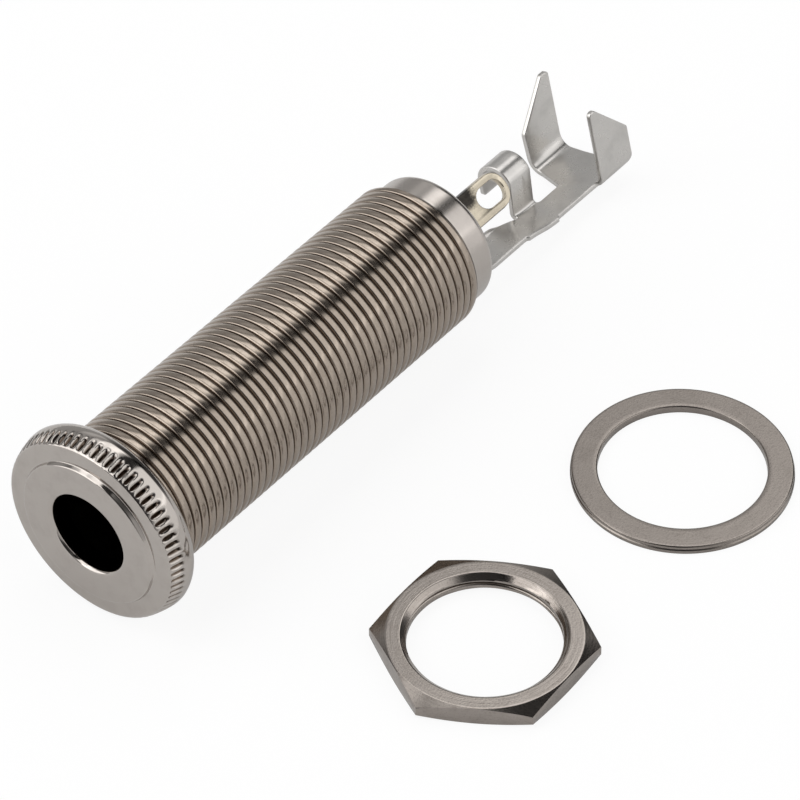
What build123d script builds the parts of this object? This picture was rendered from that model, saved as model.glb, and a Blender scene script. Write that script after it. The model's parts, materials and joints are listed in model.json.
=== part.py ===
from build123d import *
import os
from math import atan2, cos, degrees, radians, sin

# Long threaded barrel jack for a quarter inch plug, with its panel nut and washer.
# Sizes are in millimetres. Each jack piece is drawn about the barrel's own axis:
# X runs from the flange's front face to the rear, Z is up, and -Y is the right side.
# At the end the jack is laid down as it rests on a bench, beside its nut and washer.

# Plug
plug_d = 6.35
plug_length = 31.5
plug_clearance = 0.05

# Barrel, outside
thread_d = 11.906
disc_d = 11.78
disc_height = 0.36
flange_face_d = 14.6
knurl_rear_d = 15.32
knurl_rear = 1.1
flange_crest_d = 15.52
flange_crest = 1.7
flange_slope_d = 15.14
flange_slope = 2.35
flange_back_d = 14.3
flange_thickness = 2.75
knurl_teeth = 75
knurl_depth = 0.2
thread_length = 34.25
shoulder_d = 10.8
shoulder_length = 2.9
shoulder_break = 0.3
edge_break = 0.2
disc_root_break = 0.14
mouth_break = 0.25

# Barrel, inside
contact_bore_length = 9.0
bore_rear_break = 0.3
chamber_d = 9.7
lip_opening_d = 9.0
lip_thickness = 0.5

# Insulators, stacked in the chamber
chamber_clearance = 0.05
sleeve_wall = 0.55
front_wafer_thickness = 1.2
rear_wafer_thickness = 1.75
slot_clearance = 0.05
leaf_lift_clearance = 0.2

# Tip lug, a flat blade that stands at its own angle about the axis
tip_roll = -40.0
tip_offset = 0.25
tip_side_offset = 0.12
tip_thickness = 0.5
tip_width = 2.92
tip_blade_length = 7.82
tip_slot_width = 1.8
tip_slot_length = 2.82
tip_slot_margin = 0.47
tip_tail_width = 2.2
tip_shoulder_width = 7.0
tip_shoulder_length = 0.6

# Tip contact leaf
leaf_thickness = 0.3
leaf_width = 2.2
leaf_run_height = 2.95
leaf_bump_height = 2.5
leaf_bump_from_tip = 5.4
leaf_bump_half_length = 1.1
leaf_foot_length = 0.53
leaf_ramp_length = 2.3
leaf_bend = 0.5
leaf_lip_height = 1.15

# Ground lug, one folded strip that stands at its own angle about the axis
ground_roll = 14.0
sheet = 0.42
fold = 0.3
ring_inner_d = 6.0
strip_root_drop = 3.8
strip_front_drop = 5.0
strip_drop = 5.5
strip_ramp_behind = 0.4
strip_ramp_length = 2.9
strip_kink_behind = 8.1
strip_kink_length = 2.6
strip_right = 1.46
strip_left = 1.14
strip_root_left = 2.2
strip_taper_behind = 7.0
strip_taper_length = 2.6
stub_behind = 7.7
stub_length = 3.9
stub_width = 0.2

# Hook that rises from the strip's left edge
hook_behind = 9.9
hook_width = 2.5
hook_r = 1.68
hook_arch_left = 2.85
hook_arch_drop = 2.4
hook_lean = 0.13
hook_end_drop = 3.72

# Clamp at the strip's end
clamp_left = 4.9
clamp_right = 2.0
clamp_left_fold = 0.7
clamp_neck_behind = 15.0
clamp_neck_length = 1.1
clamp_length = 3.8
neck_bow = 0.03
relief_depth = 0.2
left_wing_height = 7.15
left_wing_low = 3.35
left_wing_lean = 0.15
left_wing_tip = 0.85
right_wing_setback = 0.5
right_wing_height = 6.65
right_wing_low = 3.35
right_wing_top = 0.6
right_wing_flare = 0.6
wing_round = 0.35

# Panel nut
nut_across_flats = 14.29
nut_thickness = 1.535
nut_face_d = 14.1
nut_corner_drop = 0.39
nut_minor_d = 11.1
nut_mouth_d = 11.92
nut_mouth_depth = 0.38
nut_turn = 1.5

# Washer
washer_d = 16.4
washer_hole_clearance = 0.25
washer_thickness = 0.65
washer_break = 0.15

# Places on the bench, from the centre of the flange's front face
nut_ahead = 13.84
nut_aside = -24.35
washer_ahead = 36.45
washer_aside = -25.16

# Sizes that follow
bore_r = plug_d / 2 + plug_clearance
thread_end = flange_thickness + thread_length
barrel_end = thread_end + shoulder_length
chamber_r = chamber_d / 2
stack_r = chamber_r - chamber_clearance
stack_end = barrel_end - lip_thickness
ring_front = stack_end - sheet
rear_wafer_front = ring_front - rear_wafer_thickness
front_wafer_front = rear_wafer_front - front_wafer_thickness
tip_top = tip_offset + tip_thickness / 2
tip_bottom = tip_offset - tip_thickness / 2
tip_reach = barrel_end + tip_blade_length
plug_end = plug_length - disc_height
leaf_bump = plug_end - leaf_bump_from_tip
leaf_lip_rear = rear_wafer_front + tip_shoulder_length
thread_r = thread_d / 2
clamp_neck = barrel_end + clamp_neck_behind
clamp_front = clamp_neck + clamp_neck_length
clamp_rear = clamp_front + clamp_length
right_wing_front = clamp_front + right_wing_setback
left_fold_r = clamp_left_fold + sheet


def about_axis(roll, shape):
    """Turn a piece about the jack's axis, so that its own flat side faces the right way."""
    return Rot(-roll, 0, 0) * shape


def turned(sketch):
    """Revolve a half profile, drawn with X along the axis and Y as the radius."""
    return revolve(sketch, Axis.X)


def tube(front, rear, outer_r, inner_r):
    """A plain tube about the axis."""
    outline = Polyline((front, inner_r), (rear, inner_r), (rear, outer_r), (front, outer_r), close=True)
    return turned(make_face(outline))


def prism_up(sketch, low, high):
    """Raise a plan view, drawn in X and Y, from one height to another."""
    return extrude(Pos(0, 0, low) * sketch, high - low)


def prism_across(sketch, left, right):
    """Carry a side view, drawn in X and Z, across from one Y to another."""
    return Pos(0, left, 0) * extrude(Plane.XZ * sketch, -(right - left))


def prism_along(sketch, front, rear):
    """Carry a view from the front, drawn in Y and Z, along the axis."""
    return Pos(front, 0, 0) * extrude(Plane.YZ * sketch, rear - front)


def barrel_profile():
    """Half section of the barrel: disc, flange, thread, shoulder, lip, chamber and bore."""
    disc_r = disc_d / 2
    shoulder_r = shoulder_d / 2
    thread_runout = thread_r - shoulder_r
    outline = Polyline(
        (0, bore_r),
        (-disc_height, bore_r),
        (-disc_height, disc_r),
        (0, disc_r),
        (0, flange_face_d / 2),
        (knurl_rear, knurl_rear_d / 2),
        (flange_crest, flange_crest_d / 2),
        (flange_slope, flange_slope_d / 2),
        (flange_thickness, flange_back_d / 2),
        (flange_thickness, thread_r),
        (thread_end, thread_r),
        (thread_end + thread_runout, shoulder_r),
        (barrel_end, shoulder_r),
        (barrel_end, lip_opening_d / 2),
        (stack_end, lip_opening_d / 2),
        (stack_end, chamber_r),
        (contact_bore_length, chamber_r),
        (contact_bore_length, bore_r),
        close=True,
    )
    return make_face(outline), disc_r, shoulder_r


def corner_at(sketch, x, y):
    """The corner of a flat outline that lies nearest to a point."""
    return sketch.vertices().sort_by_distance((x, y, 0))[0]


def knurl_grooves():
    """V grooves pressed round the rim: deepest at the front, they run out at the crest."""
    bottom = flange_face_d / 2 - knurl_depth
    rise = flange_crest_d / 2 - bottom
    reach = knurl_depth * 1.5
    vee = make_face(Polyline((0, bottom), (reach, bottom + reach), (-reach, bottom + reach), close=True))
    along = Vector(flange_crest, 0, rise)
    groove = extrude(Plane.YZ * vee, amount=along.length, dir=along)
    return [Rot(360 * tooth / knurl_teeth, 0, 0) * groove for tooth in range(knurl_teeth)]


def threaded_barrel():
    """Turned barrel with its knurled rim; the thread is drawn at the full thread diameter."""
    profile, disc_r, shoulder_r = barrel_profile()
    breaks = {
        (-disc_height, bore_r): mouth_break,
        (-disc_height, disc_r): edge_break,
        (0, disc_r): disc_root_break,
        (contact_bore_length, bore_r): bore_rear_break,
        (barrel_end, shoulder_r): shoulder_break,
    }
    for (x, r), size in breaks.items():
        profile = chamfer(corner_at(profile, x, r), size)
    return turned(profile) - knurl_grooves()


def insulating_sleeve():
    """Tube that keeps the tip contact off the barrel."""
    return tube(contact_bore_length, front_wafer_front, stack_r, stack_r - sleeve_wall)


def tip_plan():
    """Plan of the tip lug: blade with a round end, shoulders and a short tail."""
    front = front_wafer_front
    middle = rear_wafer_front
    behind = middle + tip_shoulder_length
    blade_r = tip_width / 2
    blade = Pos((behind + tip_reach) / 2, 0) * Rectangle(tip_reach - behind, tip_width)
    blade = fillet(blade.vertices().group_by(Axis.X)[-1], blade_r * 0.98)
    slot_r = tip_slot_width / 2
    slot_middle = tip_reach - tip_slot_margin - tip_slot_length / 2
    slot_run = tip_slot_length - 2 * slot_r
    blade -= Pos(slot_middle, 0) * SlotCenterToCenter(slot_run, tip_slot_width)
    shoulders = Rectangle(tip_shoulder_length, tip_shoulder_width)
    tail = Rectangle(middle - front, tip_tail_width)
    plan = Pos(0, -tip_side_offset) * blade
    plan += Pos(middle + tip_shoulder_length / 2, 0) * shoulders
    plan += Pos((front + middle) / 2, 0) * tail
    return plan


def tip_solder_lug():
    """Flat stamped blade, held by its shoulders between the two wafers."""
    return about_axis(tip_roll, prism_up(tip_plan(), tip_bottom, tip_top))


def leaf_path():
    """Centre line of the leaf, in X and Z, from its upturned lip to its front end."""
    foot = tip_top + leaf_thickness / 2
    lip = leaf_lip_rear - leaf_thickness / 2
    bump = leaf_bump_half_length
    ramp_rear = front_wafer_front - leaf_foot_length
    return FilletPolyline(
        (lip, foot + leaf_lip_height),
        (lip, foot),
        (ramp_rear, foot),
        (ramp_rear - leaf_ramp_length, leaf_run_height),
        (leaf_bump + bump, leaf_run_height),
        (leaf_bump, leaf_bump_height),
        (leaf_bump - bump, leaf_run_height),
        radius=leaf_bend,
    )


def tip_contact_spring():
    """Bent leaf. Its lip sits behind the front wafer and its foot lies on the tip lug."""
    band = trace(leaf_path(), leaf_thickness)
    leaf = prism_across(band, -leaf_width / 2, leaf_width / 2)
    return about_axis(tip_roll, leaf)


def front_wafer():
    """Insulating disc, slotted for the tip lug's tail and the leaf's foot."""
    disc = tube(front_wafer_front, rear_wafer_front, stack_r, 0)
    low = tip_bottom - slot_clearance
    high = tip_top + leaf_thickness + leaf_lift_clearance
    width = max(tip_tail_width, leaf_width) + 2 * slot_clearance
    middle = (front_wafer_front + rear_wafer_front) / 2
    slot = Pos(middle, 0, (low + high) / 2) * Box(2 * front_wafer_thickness, width, high - low)
    return disc - about_axis(tip_roll, slot)


def rear_wafer():
    """Insulating disc with a pocket for the lug's shoulders and a slot for its blade."""
    disc = tube(rear_wafer_front, ring_front, stack_r, 0)
    low = tip_bottom - slot_clearance
    high = tip_top + slot_clearance
    lip_top = tip_top + leaf_thickness + leaf_lip_height + leaf_lift_clearance
    pocket_middle = rear_wafer_front + tip_shoulder_length / 2
    pocket = Pos(pocket_middle, 0, (low + high) / 2)
    pocket *= Box(tip_shoulder_length, tip_shoulder_width + 2 * slot_clearance, high - low)
    lip_room = Pos(pocket_middle, 0, (low + lip_top) / 2)
    lip_room *= Box(tip_shoulder_length, leaf_width + 2 * slot_clearance, lip_top - low)
    slot = Pos((rear_wafer_front + ring_front) / 2, -tip_side_offset, (low + high) / 2)
    slot *= Box(2 * rear_wafer_thickness, tip_width + 2 * slot_clearance, high - low)
    return disc - about_axis(tip_roll, pocket + lip_room + slot)


def strip_side():
    """Side view of the strip: up from the ring, out past the lip, then along."""
    middle = sheet / 2
    ramp = barrel_end + strip_ramp_behind
    kink = barrel_end + strip_kink_behind
    path = FilletPolyline(
        (ring_front + middle, -strip_root_drop + middle),
        (ramp, -strip_root_drop + middle),
        (ramp + strip_ramp_length, -strip_front_drop + middle),
        (kink, -strip_front_drop + middle),
        (kink + strip_kink_length, -strip_drop + middle),
        (right_wing_front, -strip_drop + middle),
        radius=fold * 3,
    )
    return trace(path, sheet)


def strip_plan():
    """Plan of the strip: wide root, taper on the left, small stub on the right."""
    taper = barrel_end + strip_taper_behind
    outline = Polyline(
        (ring_front, strip_root_left),
        (taper, strip_root_left),
        (taper + strip_taper_length, strip_left),
        (right_wing_front, strip_left),
        (right_wing_front, -strip_right),
        (ring_front, -strip_right),
        close=True,
    )
    stub_middle = barrel_end + stub_behind + stub_length / 2
    stub = Rectangle(stub_length, 2 * stub_width)
    stub = chamfer(stub.vertices(), stub_width * 0.9)
    return make_face(outline) + Pos(stub_middle, -strip_right) * stub


def ground_strip():
    """The long strip, from its folded root to the clamp."""
    side = prism_across(strip_side(), -strip_right - 1, strip_root_left + 1)
    plan = prism_up(strip_plan(), -strip_drop - 1, 0)
    return side & plan


def ground_ring():
    """Ring that the barrel's lip presses against the rear wafer."""
    return tube(ring_front, stack_end, stack_r, ring_inner_d / 2)


def ground_hook():
    """Tab folded up from the strip's left edge and curled over to the left."""
    middle = sheet / 2
    bend_r = hook_r - middle
    foot_drop = strip_drop - middle
    foot_left = hook_arch_left - hook_r + middle + hook_lean * (foot_drop - hook_arch_drop)
    top_left = hook_arch_left - bend_r
    limb = FilletPolyline(
        (strip_left - 0.6, -foot_drop),
        (foot_left, -foot_drop),
        (top_left, -hook_arch_drop),
        radius=fold + middle,
    )
    arch = ThreePointArc(
        (top_left, -hook_arch_drop),
        (hook_arch_left, -hook_arch_drop + bend_r),
        (hook_arch_left + bend_r, -hook_arch_drop),
    )
    tail = Line(
        (hook_arch_left + bend_r, -hook_arch_drop),
        (hook_arch_left + bend_r, -hook_end_drop),
    )
    band = trace(limb, sheet) + trace(arch + tail, sheet)
    hook_front = barrel_end + hook_behind
    return prism_along(band, hook_front, hook_front + hook_width)


def clamp_band():
    """Clamp seen from the front: flat, with a wide fold on the left and a tight one on the right."""
    middle = sheet / 2
    low = -strip_drop + middle
    left = clamp_left - middle
    right = -clamp_right + middle
    left_top = -strip_drop + left_wing_height
    right_top = -strip_drop + right_wing_height
    left_wing = FilletPolyline((0, low), (left, low), (left, left_top), radius=left_fold_r - middle)
    right_wing = FilletPolyline((0, low), (right, low), (right, right_top), radius=fold + middle)
    return trace(left_wing, sheet) + trace(right_wing, sheet)


def rounded(sketch, size):
    """Round every corner of a flat outline."""
    return fillet(sketch.vertices(), size)


def left_wing_side():
    """Left wing from the side: low at the front, with its tip at the rear."""
    top = -strip_drop + left_wing_height
    low = -strip_drop + left_wing_low
    outline = Polyline(
        (clamp_front, -strip_drop - 1),
        (clamp_front, -strip_drop),
        (clamp_front - left_wing_lean, low),
        (clamp_rear - left_wing_tip, top),
        (clamp_rear, top),
        (clamp_rear, -strip_drop - 1),
        close=True,
    )
    return rounded(make_face(outline), wing_round)


def right_wing_side():
    """Right wing from the side: tall at the front, with its top sloping down to the rear."""
    top = -strip_drop + right_wing_height
    low = -strip_drop + right_wing_low
    outline = Polyline(
        (right_wing_front, -strip_drop - 1),
        (right_wing_front, top),
        (right_wing_front + right_wing_top, top),
        (clamp_rear + right_wing_flare, low),
        (clamp_rear + right_wing_flare, -strip_drop + sheet + fold),
        (clamp_rear, -strip_drop),
        (clamp_rear, -strip_drop - 1),
        close=True,
    )
    return rounded(make_face(outline), wing_round)


def clamp_flat_plan():
    """Plan of the clamp's flat: widens from the strip to the left fold, scooped at the rear."""
    left = clamp_left - left_fold_r
    right = -clamp_right + sheet + fold
    front = ThreePointArc(
        (clamp_neck, strip_left),
        ((clamp_neck + clamp_front) / 2 - neck_bow, (strip_left + left) / 2),
        (clamp_front, left),
    )
    rear = ThreePointArc(
        (clamp_rear, left),
        (clamp_rear - relief_depth, (left + right) / 2),
        (clamp_rear, right),
    )
    right_side = Polyline((clamp_rear, right), (clamp_neck, right), (clamp_neck, strip_left))
    return make_face(front + Line((clamp_front, left), (clamp_rear, left)) + rear + right_side)


def ground_clamp():
    """Flat with its two upturned wings, not yet closed on a cable."""
    band = prism_along(clamp_band(), clamp_neck - 1, clamp_rear + right_wing_flare + 1)
    flat = prism_up(clamp_flat_plan(), -strip_drop - 1, -strip_drop + sheet + 1)
    left_wing = prism_across(left_wing_side(), clamp_left - left_fold_r, clamp_left + 1)
    right_wing = prism_across(right_wing_side(), -clamp_right - 1, -clamp_right + sheet + fold)
    return band & (left_wing + right_wing + flat)


def ground_lug():
    """One stamped and folded piece: ring, strip, hook and clamp."""
    lug = ground_ring() + ground_strip() + ground_hook() + ground_clamp()
    return about_axis(ground_roll, lug)


def hex_nut():
    """Thin panel nut, chamfered on both faces; its thread is drawn at the minor diameter."""
    blank = extrude(RegularPolygon(nut_across_flats / 2, 6, major_radius=False), nut_thickness)
    corner_r = nut_across_flats / 2 / cos(radians(30))
    outline = Polyline(
        (nut_minor_d / 2, nut_mouth_depth),
        (nut_mouth_d / 2, 0),
        (nut_face_d / 2, 0),
        (corner_r, nut_corner_drop),
        (corner_r, nut_thickness - nut_corner_drop),
        (nut_face_d / 2, nut_thickness),
        (nut_mouth_d / 2, nut_thickness),
        (nut_minor_d / 2, nut_thickness - nut_mouth_depth),
        close=True,
    )
    envelope = revolve(Plane.XZ * make_face(outline), Axis.Z)
    return Rot(0, 0, nut_turn) * (blank & envelope)


def flat_washer():
    """Flat washer with broken edges."""
    hole_r = thread_r + washer_hole_clearance
    ring = Pos((hole_r + washer_d / 2) / 2, washer_thickness / 2)
    ring *= Rectangle(washer_d / 2 - hole_r, washer_thickness)
    ring = chamfer(ring.vertices(), washer_break)
    return revolve(Plane.XZ * ring, Axis.Z)


def rest_tilt():
    """Angle at which the jack lies: on the flange's crest and on the clamp's left fold."""
    roll = radians(ground_roll)
    side = clamp_left - left_fold_r
    drop = strip_drop - left_fold_r
    clamp_depth = side * sin(roll) + drop * cos(roll) + left_fold_r
    return degrees(atan2(flange_crest_d / 2 - clamp_depth, clamp_rear - flange_crest))


def laid_down(shape):
    """Lay a jack piece on the bench, at the jack's resting tilt."""
    tilt = rest_tilt()
    height = flange_crest_d / 2 * cos(radians(tilt)) + flange_crest * sin(radians(tilt))
    return Pos(0, 0, height) * Rot(0, tilt, 0) * shape


def all_pieces():
    """Every piece in its place, with the origin under the middle of the whole."""
    jack = {
        "threaded_barrel": threaded_barrel(),
        "insulating_sleeve": insulating_sleeve(),
        "front_wafer": front_wafer(),
        "rear_wafer": rear_wafer(),
        "tip_solder_lug": tip_solder_lug(),
        "tip_contact_spring": tip_contact_spring(),
        "ground_lug": ground_lug(),
    }
    pieces = {name: laid_down(shape) for name, shape in jack.items()}
    pieces["hex_nut"] = Pos(nut_ahead, nut_aside, 0) * hex_nut()
    pieces["flat_washer"] = Pos(washer_ahead, washer_aside, 0) * flat_washer()
    box = Compound(children=[Part() + shape for shape in pieces.values()]).bounding_box()
    shift = Pos(-box.center().X, -box.center().Y, -box.min.Z)
    return {name: shift * shape for name, shape in pieces.items()}, shift


os.makedirs("parts", exist_ok=True)
placed, origin_shift = all_pieces()
for node_name, node_shape in placed.items():
    export_step(node_shape, f"parts/{node_name}.step")
print("rest tilt", round(rest_tilt(), 4), "jack's front at", tuple(origin_shift.position))
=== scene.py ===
# %% [markdown]
# # A long threaded phone jack, with its nut and washer
# The object is a turned brass barrel, plated with nickel, that a guitar plug goes into.
# At its rear sit two stamped lugs: a small blade for the tip wire, and a long strip that
# ends in an open cable clamp. Its hexagon nut and flat washer lie beside it.
# The solids come ready made from the CAD pack, so this lesson adds what solids leave out:
# the cut thread, the rounded edges and the metal finishes.

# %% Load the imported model
import json
import math

import bmesh
import bpy
import numpy as np
from mathutils import Matrix, Vector

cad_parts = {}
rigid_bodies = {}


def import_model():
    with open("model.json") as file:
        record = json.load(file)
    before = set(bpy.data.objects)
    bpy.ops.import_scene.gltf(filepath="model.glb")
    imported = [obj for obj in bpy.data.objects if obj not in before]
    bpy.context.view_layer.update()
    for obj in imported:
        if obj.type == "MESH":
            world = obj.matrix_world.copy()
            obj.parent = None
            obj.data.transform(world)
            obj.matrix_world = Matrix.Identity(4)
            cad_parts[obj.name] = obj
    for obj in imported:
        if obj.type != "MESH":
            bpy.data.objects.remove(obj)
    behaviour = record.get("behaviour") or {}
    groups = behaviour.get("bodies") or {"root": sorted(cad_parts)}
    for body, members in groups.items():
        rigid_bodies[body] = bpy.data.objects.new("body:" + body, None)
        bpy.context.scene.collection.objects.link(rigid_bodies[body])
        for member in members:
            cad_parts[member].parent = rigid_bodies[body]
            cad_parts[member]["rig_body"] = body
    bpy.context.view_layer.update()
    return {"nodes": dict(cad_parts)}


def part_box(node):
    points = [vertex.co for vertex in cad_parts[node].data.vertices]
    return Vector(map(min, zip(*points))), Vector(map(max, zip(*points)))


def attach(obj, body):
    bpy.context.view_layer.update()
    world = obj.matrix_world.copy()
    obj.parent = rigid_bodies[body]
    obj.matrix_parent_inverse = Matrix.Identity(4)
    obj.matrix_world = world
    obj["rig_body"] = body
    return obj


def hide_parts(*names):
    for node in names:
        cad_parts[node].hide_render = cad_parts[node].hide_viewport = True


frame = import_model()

MM = 0.001
print("nodes:", sorted(frame["nodes"]))

# %% [markdown]
# ## Where the jack lies
# Every turned piece is easiest to draw about its own axis, in mm, with X running from the
# flange's front face to the rear and Z up. The jack rests on its flange and on one fold
# of the clamp, so that axis slopes a little. One matrix carries the drawing to the bench,
# and its three numbers are worked out from the barrel's box, so nothing is fitted by eye.

# %% The jack's own frame
REST_TILT = math.radians(1.4549)
DISC_HEIGHT = 0.36
DISC_R = 5.89
DISC_BREAK = 0.2
FLANGE_R = 7.76
FLANGE_CREST = 1.7

barrel_low, barrel_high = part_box("threaded_barrel")
lowest_x = -DISC_HEIGHT * math.cos(REST_TILT) - (DISC_R - DISC_BREAK) * math.sin(REST_TILT)
front_centre = Vector((
    barrel_low.x - lowest_x * MM,
    (barrel_low.y + barrel_high.y) / 2,
    (FLANGE_R * math.cos(REST_TILT) + FLANGE_CREST * math.sin(REST_TILT)) * MM,
))
jack_place = Matrix.Translation(front_centre) @ Matrix.Rotation(REST_TILT, 4, "Y")
print("front of the flange, mm:", [round(value / MM, 3) for value in front_centre])

# %% [markdown]
# ## The camera
# The photograph is taken from the front right and well above, with a long lens, so that
# the far end looks nearly as large as the near one. A camera could be turned by hand
# until the picture fits. Here its place, its aim and its lens were worked out from the
# ellipses that the round pieces show, which is more exact. It comes first, so that every
# later choice is judged in the photograph's own frame. It leans by less than a degree,
# as a hand-set camera does.

# %% Camera at the photograph's angle
EYE = (-185.64, -176.11, 272.77)
AIM = (29.82, -4.21, 0.0)
LENS = 235.98
FILM_WIDTH = 36.0
LEAN = -0.012


def put_in_scene(name, data):
    """Make an object of a mesh, a lamp or a camera, and link it to the scene."""
    made = bpy.data.objects.new(name, data)
    bpy.context.scene.collection.objects.link(made)
    return made


def over_floor(offset):
    """A point given in mm from the spot on the floor under the flange's front."""
    x, y, z = (value * MM for value in offset)
    return Vector((front_centre.x + x, front_centre.y + y, z))


camera_data = bpy.data.cameras.new("photo_camera")
camera_data.lens = LENS
camera_data.sensor_width = FILM_WIDTH
camera_data.sensor_fit = "HORIZONTAL"
camera_data.clip_start = 0.01
camera_data.clip_end = 20
camera = put_in_scene("photo_camera", camera_data)
forward = (over_floor(AIM) - over_floor(EYE)).normalized()
level = forward.cross(Vector((0, 0, 1))).normalized()
upward = level.cross(forward)
right = math.cos(LEAN) * level + math.sin(LEAN) * upward
above = right.cross(forward)
facing = Matrix((right, above, -forward)).transposed().to_4x4()
camera.matrix_world = Matrix.Translation(over_floor(EYE)) @ facing
bpy.context.scene.camera = camera
bpy.context.scene.view_settings.view_transform = "Standard"
print("eye to aim, mm:", round((over_floor(AIM) - over_floor(EYE)).length / MM, 1))

# %% [markdown]
# ## Shader maths as Python
# A finish is a small calculation over the surface: how worn, how rough, how dark. Node
# trees hide that, so one class wraps a socket and lets Python's own operators add the
# Math nodes. Every other node comes from one method, which sets the node up first and
# then fills its sockets with values or links.

# %% A socket that can be calculated with
class Signal:
    """A value that changes over a surface, held by one output socket."""

    def __init__(self, finish, socket):
        self.finish = finish
        self.socket = socket

    def maths(self, operation, *values):
        return self.finish.node("ShaderNodeMath", {"operation": operation}, dict(enumerate(values)))

    def __add__(self, other):
        return self.maths("ADD", self, other)

    __radd__ = __add__

    def __sub__(self, other):
        return self.maths("SUBTRACT", self, other)

    def __rsub__(self, other):
        return self.maths("SUBTRACT", other, self)

    def __mul__(self, other):
        return self.maths("MULTIPLY", self, other)

    __rmul__ = __mul__

    def __truediv__(self, other):
        return self.maths("DIVIDE", self, other)

    def __rtruediv__(self, other):
        return self.maths("DIVIDE", other, self)

    def root(self):
        return self.maths("SQRT", self)

    def larger(self, other):
        return self.maths("MAXIMUM", self, other)

    def ramp(self, low, high):
        """0 below low, 1 above high, and a smooth step between them."""
        settings = {"interpolation_type": "SMOOTHSTEP"}
        return self.finish.node("ShaderNodeMapRange", settings, {0: self, 1: low, 2: high})


# %% A material, or the world, as a calculation
class Finish:
    """A node tree that starts empty, grows by calculation, and ends in its shader."""

    def __init__(self, owner):
        owner.use_nodes = True
        self.owner = owner
        self.tree = owner.node_tree
        self.tree.nodes.clear()

    def node(self, kind, settings=None, values=None, output=0):
        made = self.tree.nodes.new(kind)
        for key, value in (settings or {}).items():
            setattr(made, key, value)
        for key, value in (values or {}).items():
            if isinstance(value, Signal):
                self.tree.links.new(value.socket, made.inputs[key])
            else:
                made.inputs[key].default_value = value
        return Signal(self, made.outputs[output])

    def blend(self, share, first, second):
        """One colour turning into another as share goes from 0 to 1."""
        return self.node("ShaderNodeMix", {"data_type": "RGBA"}, {0: share, 6: first, 7: second}, 2)

    def noise(self, where, scale, detail=2.0, roughness=0.5):
        sizes = {"Vector": where, "Scale": scale, "Detail": detail, "Roughness": roughness}
        return self.node("ShaderNodeTexNoise", None, sizes)

    def finish_with(self, kind, shader):
        last = self.tree.nodes.new(kind)
        self.tree.links.new(shader.socket, last.inputs["Surface"])


print("shader maths ready")

# %% [markdown]
# ## The room and its light
# Bright metal shows nothing of its own: it shows the room. The photograph was taken on
# white, with long soft lights on both sides of the jack, and the dark gap between them is
# the black line that runs along the barrel. Lamps could stand there, but lamps add noise,
# and their edges are hard to soften. So the room is painted in the world by direction:
# grey walls, long lights with soft edges, one gap, and a few dark places.

# %% Directions in the room
END_FADES = (3, 4)
HORIZON = (0.05, 0.1)

room = Finish(bpy.context.scene.world or bpy.data.worlds.new("room"))
bpy.context.scene.world = room.owner
sight = room.node("ShaderNodeTexCoord")


def compass(azimuth, elevation):
    """A direction from degrees round the jack, where 0 is its rear, and degrees up."""
    a, e = math.radians(azimuth), math.radians(elevation)
    return Vector((math.cos(e) * math.cos(a), math.cos(e) * math.sin(a), math.sin(e)))


def towards(direction):
    """How far a line of sight goes along a direction."""
    pair = {0: sight, 1: Vector(direction).normalized()}
    return room.node("ShaderNodeVectorMath", {"operation": "DOT_PRODUCT"}, pair, 1)


def around(azimuth, elevation, full, fade):
    """1 within so many degrees of a place in the room, fading to 0."""
    near = towards(compass(azimuth, elevation))
    return near.ramp(math.cos(math.radians(fade)), math.cos(math.radians(full)))


def long_window(lean, across, front, rear, soft):
    """1 inside a long light that leans to the right from straight up, seen from the front."""
    a = math.radians(lean)
    depth = towards((0, -math.sin(a), math.cos(a)))
    side = towards((0, -math.cos(a), -math.sin(a))) / depth
    along = towards((1, 0, 0)) / depth
    between_sides = side.ramp(-across - soft, -across) * (1 - side.ramp(across, across + soft))
    from_front = along.ramp(front - END_FADES[0] * soft, front)
    to_rear = 1 - along.ramp(rear, rear + END_FADES[1] * soft)
    return between_sides * from_front * to_rear * depth.ramp(*HORIZON)


print("directions ready")

# %% [markdown]
# Each part of the jack mirrors its own patch of the room, so each patch can be set from
# what the photograph shows there. On the left a strong light brightens the thread, a broad
# one at the front draws the crescent on the raised disc, a thin one sharpens the edge of
# the black line, and two small ones catch the nut's corner and the clamp. On the right a
# broad light and a low one carry the thread's other side.

# %% The long lights
# strength, then the window's lean in degrees, half width, front end, rear end, softness
LONG_LIGHTS = (
    (1.4, -18, 0.155, 0.32, 0.9, 0.08),
    (1.25, -26, 0.4, -1.6, -0.25, 0.08),
    (0.4, -11, 0.09, -0.9, 1.3, 0.08),
    (0.8, -31, 0.07, -0.5, 0.3, 0.06),
    (0.3, -49, 0.1, 0.3, 1.2, 0.06),
    (0.9, 39, 0.36, 0.08, 1.2, 0.12),
    (0.65, 76, 0.3, 0.1, 1.2, 0.14),
)

lights = sum(strength * long_window(*place) for strength, *place in LONG_LIGHTS)
print("long lights:", len(LONG_LIGHTS))

# %% [markdown]
# The walls are grey, and dark where the photograph's metal is dark: in the gap above the
# barrel, low at the front, behind the clamp, and on the left. The side of the room that
# the photograph was taken from is dark as well, since no light stood there.

# %% Grey walls and dark places
WALL = 0.47
GAP_DEPTH = 0.92
GAP = (7, 0.135, -3.0, 3.0, 0.04)
# share of light taken away, azimuth, elevation, degrees of full dark, degrees of its end
DARK_PLACES = ((0.9, -160, 14, 16, 24), (0.85, 0, 18, 14, 32), (0.6, 78, 42, 6, 20))
DARK_SIDE = (0.85, -137, 45, 14, 30)

walls = WALL * (1 - GAP_DEPTH * long_window(*GAP))
for taken, *place in DARK_PLACES:
    walls = walls * (1 - taken * around(*place))
glow = (lights + walls) * (1 - DARK_SIDE[0] * around(*DARK_SIDE[1:]))
print("dark places:", len(DARK_PLACES) + 1)

# %% [markdown]
# The camera itself sees none of this behind the jack. Light Path tells its rays from the
# others, and gives them plain white, so the background is white without any more light.

# %% The painted room
WHITE = (1, 1, 1, 1)

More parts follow.
